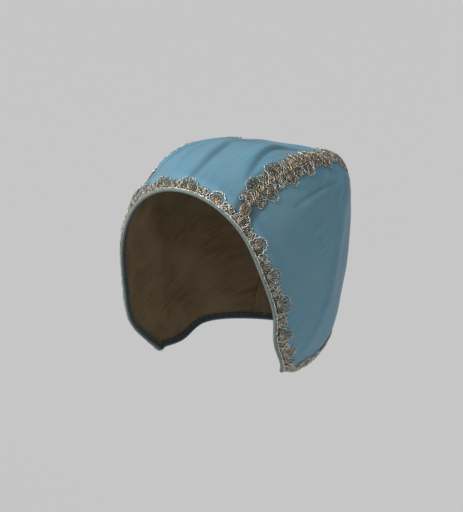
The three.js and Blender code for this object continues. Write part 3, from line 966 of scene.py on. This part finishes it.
def fan(lace, centre, base, tip, half, ribs, flip=1):
    """A close-worked fan: ribs from its base to its scalloped edge, woven across by arcs."""
    depth = tip - base
    lean = lace.random.uniform(-1.8, 1.8)
    squared = lace.random.uniform(2.2, 3.4)
    half = half * lace.random.uniform(0.82, 1.08)

    def at(turns, share):
        one, two = np.sin(turns), np.cos(turns)
        share = share / (np.abs(one) ** squared + np.abs(two) ** squared) ** (1 / squared)
        out = depth * share * two
        along = centre + half * share * one + lean * out / depth
        return np.column_stack([along, flip * (base + out)])

    mixed = [lace.any_of("rose", "gold", "silver"), "rose", "silver", "silver", "dark"]
    for angle in np.linspace(-80, 80, ribs) + lace.random.uniform(-5, 5, ribs):
        tip_at = at(np.radians([angle]), lace.random.uniform(0.88, 0.98))[0]
        root = at(np.radians([angle * 0.5]), 0.1)[0]
        lace.pair(line(root, tip_at, 0.5, 0.6, 0.35), "rib", mixed)
    for share in (0.4, 0.6, 0.8):
        turns = np.radians(np.linspace(-86, 86, int(half * share * 5) + 6))
        height = 0.55 + 0.3 * np.sin(np.linspace(0, math.pi * ribs, len(turns)) + 9 * share)
        path = np.column_stack([at(turns, share * lace.random.uniform(0.93, 1.07)), height])
        lace.thread(path, WOVEN_WIRE, lace.any_of("silver", "rose", "bright"))
    # Low dark threads under the weave: tarnished, their dark colour also stands in for shade between
    # threads
    for share in (0.5, 0.7):
        turns = np.radians(np.linspace(-86, 86, int(half * share * 3) + 6))
        path = np.column_stack([at(turns, share), np.full(len(turns), 0.25)])
        lace.thread(path, WOVEN_WIRE, "dark")
    turns = np.radians(np.linspace(-98, 98, int((half + depth) * 5)))
    scallops = np.abs(np.sin(np.linspace(0, math.pi * (ribs - 1), len(turns))))
    path = at(turns, 1.0)
    way = unit(path - np.array([centre, flip * base]))
    path = path + way * (lace.random.uniform(0.6, 1.1) * scallops - 0.4)[:, None]
    lace.pair(np.column_stack([path, 0.6 + 0.25 * scallops]), "scallop",
              ["bright", "silver", "bright"])


# Holes of an open ground: place as shares of its half length and of its depth, and size.
# Ties: foot and head, the foot's distance out in millimetres.
GROUND_HOLES = [(-0.75, 0.2, 0.8), (0.7, 0.22, 0.75), (-0.35, 0.66, 0.9), (0.6, 0.78, 0.8)]
GROUND_TIES = [(1.3, -0.2, -0.6, 0.95), (0.3, -0.6, 1.4, 0.85), (1.6, 0.1, 0.2, 1.0)]


def ground(lace, middle, room, base, reach, flip=1):
    """Open meshes between two fans: pulled holes tied by short pairs, looped at the edge."""
    def place(a, b):
        return middle + a, flip * b

    def nudge(size):
        return lace.random.uniform(-size, size)

    deep = reach - base
    size = min(1.7, 0.26 * deep + 0.5)
    for a, b, share in GROUND_HOLES:
        mesh_hole(lace, place(a * room + nudge(0.3), base + b * deep + nudge(0.2)), share * size)
    for way in (-1, 1):
        for a, b, c, d in GROUND_TIES:
            foot = place(way * a * room + nudge(0.4), base + b)
            head = place(way * c * room, base + d * deep)
            lace.pair(line(foot, head), "tie", ["silver", "bright", "rose", "dark"])
    for a in (-0.75, 0.65):
        radii = (0.62 * room, flip * lace.random.uniform(1.4, 2.1))
        loop = arc(place(a * room, reach - 1.5), radii, -105, 105, 0.4, 0.6)
        lace.pair(loop, "loop", ["bright", "silver", "silver"])


def footing(lace, start, end, out):
    """The straight inner edge: a bright cord couched down along the binding."""
    along = np.linspace(start, end, int((end - start) / 0.5))
    wave = 0.15 * np.sin(along * 1.3) + 0.1 * np.sin(along * 0.47 + 1)
    path = np.column_stack([along, out + wave, 0.62 + 0.1 * np.sin(along * 0.8)])
    lace.pair(path, "cord", ["bright", "bright", "silver"])


def netting(lace, start, end, low, high, pitch, tone):
    """A thin thread swung from side to side under the rest."""
    swings = int((end - start) / pitch * 2)
    turns = np.arange(swings + 1)
    along = turns + lace.random.uniform(-0.2, 0.2, swings + 1)
    along = start + np.clip(along, 0, swings) * pitch / 2
    out = np.where(turns % 2, high, low) + lace.random.uniform(-0.5, 0.5, swings + 1)
    count = int(run_lengths(np.column_stack([along, out]))[-1] / 0.8)
    t = np.linspace(0, swings, count)
    path = np.column_stack([np.interp(t, turns, along), np.interp(t, turns, out),
                            np.full(count, 0.3)])
    lace.thread(path, NET_WIRE, tone)


def edge_lace(name, node, band, length, plan, sizes, seed):
    """Fans along one side of a footing. sizes: a fan's and the ground's width at each place."""
    lace = Lace(band, seed)
    repeat, count = plan["repeat"], plan["count"]
    start, end = plan["ends"][0], length - plan["ends"][1]
    first = plan.get("first", start + (end - start - (count - 1) * repeat) / 2)
    footing(lace, start, end, plan["cord"])
    for k in range(count):
        centre = first + k * repeat + lace.random.uniform(-0.4, 0.4)
        fan_width, waist = sizes(centre)
        base = FOOTING * waist
        fan(lace, centre, base, fan_width, FAN_HALF * repeat, plan["ribs"])
        netting(lace, centre - repeat * 0.45, centre + repeat * 0.45, 0.6 * base, waist - 0.8,
                3.4, lace.any_of("dark", "silver"))
    for k in range(count + 1):
        middle = first + (k - 0.5) * repeat
        if start + 2.5 < middle < end - 2.5:
            waist = sizes(middle)[1]
            ground(lace, middle, GROUND_HALF * repeat, FOOTING * waist, waist)
    return lace.build(name, "lace", node)


def leaf(lace, centre, half_length, half_width, tones):
    """A close gilt leaf along the band: hatched across and ringed."""
    for k in np.linspace(-0.9, 0.9, 13):
        reach = half_width * math.sqrt(1 - k * k)
        at = centre + k * half_length
        lace.pair(line((at - 0.4, -reach), (at + 0.4, reach), 0.5, 0.75, 0.35), "hatch", tones)
    ring = arc((centre, 0), (half_length, half_width), 0, 360, 0.5, 0.75)
    lace.pair(ring, "ring", tones)


def braid(lace, start, end, steps):
    """A gilt braid of three threads down a seam, with barbs to both sides."""
    along = np.linspace(start, end, steps)
    for k, tone in enumerate(("gold", "rose", "bright")):
        turns = along * 1.15 + 2.1 * k
        path = np.column_stack([along, 0.95 * np.sin(turns), 0.95 + 0.35 * np.cos(turns)])
        lace.thread(path, BRAID_WIRE, tone)
    for at in np.arange(start + 1, end - 1, 2.4):
        tone = lace.any_of("gold", "rose", "silver", "bright")
        for way in (-1, 1):
            lace.pair(line((at, 0.2 * way), (at + 1.9, 2.2 * way), 0.5, 0.85, 0.2), "barb", [tone])


def right_seam_band(along, out):
    """The right lace was sewn a little outside its seam over the front of the crown."""
    off = smoothstep(along, 14, 34) * (1 - smoothstep(along, 72, 90))
    return left_seam_band(along, out - RIGHT_SEAM_OFF * off) * [-1, 1, 1]


def seam_lace(name, node, band, seed):
    """Fans on both sides of a gilt braid, nearly facing each other."""
    lace = Lace(band, seed)
    repeat, first, base = SEAM_LACE["repeat"], SEAM_LACE["first"], SEAM_LACE["base"]
    start, end = SEAM_LACE["ends"][0], left_seam_band.length - SEAM_LACE["ends"][1]
    count = int((end - first + 2) / repeat) + 1
    leaf(lace, start + 5.0, 4.6, 3.3, ["gold", "rose", "silver", "dark"])
    braid(lace, start + 9, end, int((end - start) / 0.5))
    for flip in (-1, 1):
        shift = SEAM_SHIFT if flip < 0 else 0.0
        for k in range(count):
            centre = first + k * repeat + shift + lace.random.uniform(-0.5, 0.5)
            if centre > end - 2.5:
                continue
            tip = SEAM_LACE["fan"] + lace.random.uniform(-0.5, 0.5)
            fan(lace, centre, base, tip, FAN_HALF * repeat, SEAM_LACE["ribs"], flip)
        for k in range(count + 1):
            middle = first + (k - 0.5) * repeat + shift
            if start + 4 < middle < end - 2.5:
                ground(lace, middle, GROUND_HALF * repeat, base + 0.2, SEAM_LACE["waist"], flip)
    return lace.build(name, "lace", node)


def middle_share(along, band):
    """0 in the middle of a band and 1 at its ends."""
    return np.abs(along - band.length / 2) / (band.length / 2)


def front_sizes(along):
    """The front lace is eased narrower over the crown than down the sides."""
    wide = 0.9 + 0.3 * smoothstep(middle_share(along, front_band), 0.15, 0.6)
    return FRONT_LACE["fan"] * wide, FRONT_LACE["waist"] * wide


def hem_sizes(along):
    """The hem lace is spread wider round the flaps than across the neck."""
    wide = 1.08 + 0.3 * smoothstep(middle_share(along, hem_band), 0.5, 0.8)
    return HEM_LACE["fan"] * wide, HEM_LACE["waist"] * wide


def eased_front_band(along, out):
    """The front edge's band, on which the right half of the lace sits nearer the edge."""
    return front_band(along, out - RIGHT_FRONT_OFF * (1 - smoothstep(along, 95, 125)))


front_lace = edge_lace("front_edge_lace", "front_lace", eased_front_band, front_band.length,
                       FRONT_LACE, front_sizes, 21)
edge_lace("hem_edge_lace", "hem_lace", hem_band, hem_band.length, HEM_LACE, hem_sizes, 22)
seam_lace("left_seam_lace", "seam_lace_left", left_seam_band, 23)
seam_lace("right_seam_lace", "seam_lace_right", right_seam_band, 24)


def stitches(name, band, ends, seed):
    """Slanted hem stitches that hold the tape's inner edge to the lining."""
    sewn = Lace(band, seed)
    for at in np.arange(ends, band.length - ends, STITCH_PITCH):
        at = at + sewn.random.uniform(-0.3, 0.3)
        far = 4.1 + sewn.random.uniform(-0.2, 0.3)
        path = line((at, 2.9), (at + 0.8, far), step=0.3, low=-1.95, arch=-0.15)
        sewn.thread(path, SEWING_THREAD, "silver")
    return sewn.build(name, "binding")


stitches("front_hem_stitches", front_band, 4.0, 31)
stitches("neck_hem_stitches", hem_band, 6.0, 32)


# Stage, camera and lights

def make_floor():
    material, _, shader = new_material("pale_floor", 0.9, specular=0.1)
    shader.inputs["Base Color"].default_value = (0.6, 0.6, 0.605, 1)
    mesh = bpy.data.meshes.new("floor")
    half = FLOOR_HALF
    corners = [(-half, -half), (half, -half), (half, half), (-half, half)]
    mesh.from_pydata([(x, y, FLOOR_HEIGHT) for x, y in corners], [], [(0, 1, 2, 3)])
    mesh.materials.append(material)
    floor = bpy.data.objects.new("floor", mesh)
    bpy.context.scene.collection.objects.link(floor)


def aim(thing, azimuth, elevation, distance):
    """Puts a camera or light round the cap, looking at it."""
    a, e = math.radians(azimuth), math.radians(elevation)
    away = Vector((math.cos(e) * math.sin(a), -math.cos(e) * math.cos(a), math.sin(e)))
    thing.location = Vector(CAMERA_TARGET) + distance * away
    thing.rotation_euler = (-away).to_track_quat("-Z", "Y").to_euler()
    bpy.context.scene.collection.objects.link(thing)


def make_camera():
    data = bpy.data.cameras.new("camera")
    data.sensor_fit = "VERTICAL"
    data.sensor_height = SENSOR
    data.lens = SENSOR / 2 / math.tan(math.radians(PICTURE_HALF_ANGLE))
    data.clip_end = 60.0
    camera = bpy.data.objects.new("camera", data)
    aim(camera, AZIMUTH, ELEVATION, CAMERA_DISTANCE)
    bpy.context.scene.camera = camera


def make_sun(name, azimuth, elevation, angle, strength):
    data = bpy.data.lights.new(name, "SUN")
    data.angle = math.radians(angle)
    data.energy = strength
    aim(bpy.data.objects.new(name, data), azimuth, elevation, 1.0)


def make_world(strength):
    world = bpy.data.worlds.new("studio")
    world.use_nodes = True
    background = world.node_tree.nodes["Background"]
    background.inputs["Color"].default_value = (1.0, 1.0, 1.0, 1)
    background.inputs["Strength"].default_value = strength
    bpy.context.scene.world = world


make_floor()
make_camera()
make_sun("key", azimuth=-32, elevation=45, angle=28, strength=2.84)
make_sun("fill", azimuth=75, elevation=25, angle=40, strength=0.2)
make_world(strength=0.28)
bpy.context.scene.view_settings.view_transform = "Standard"
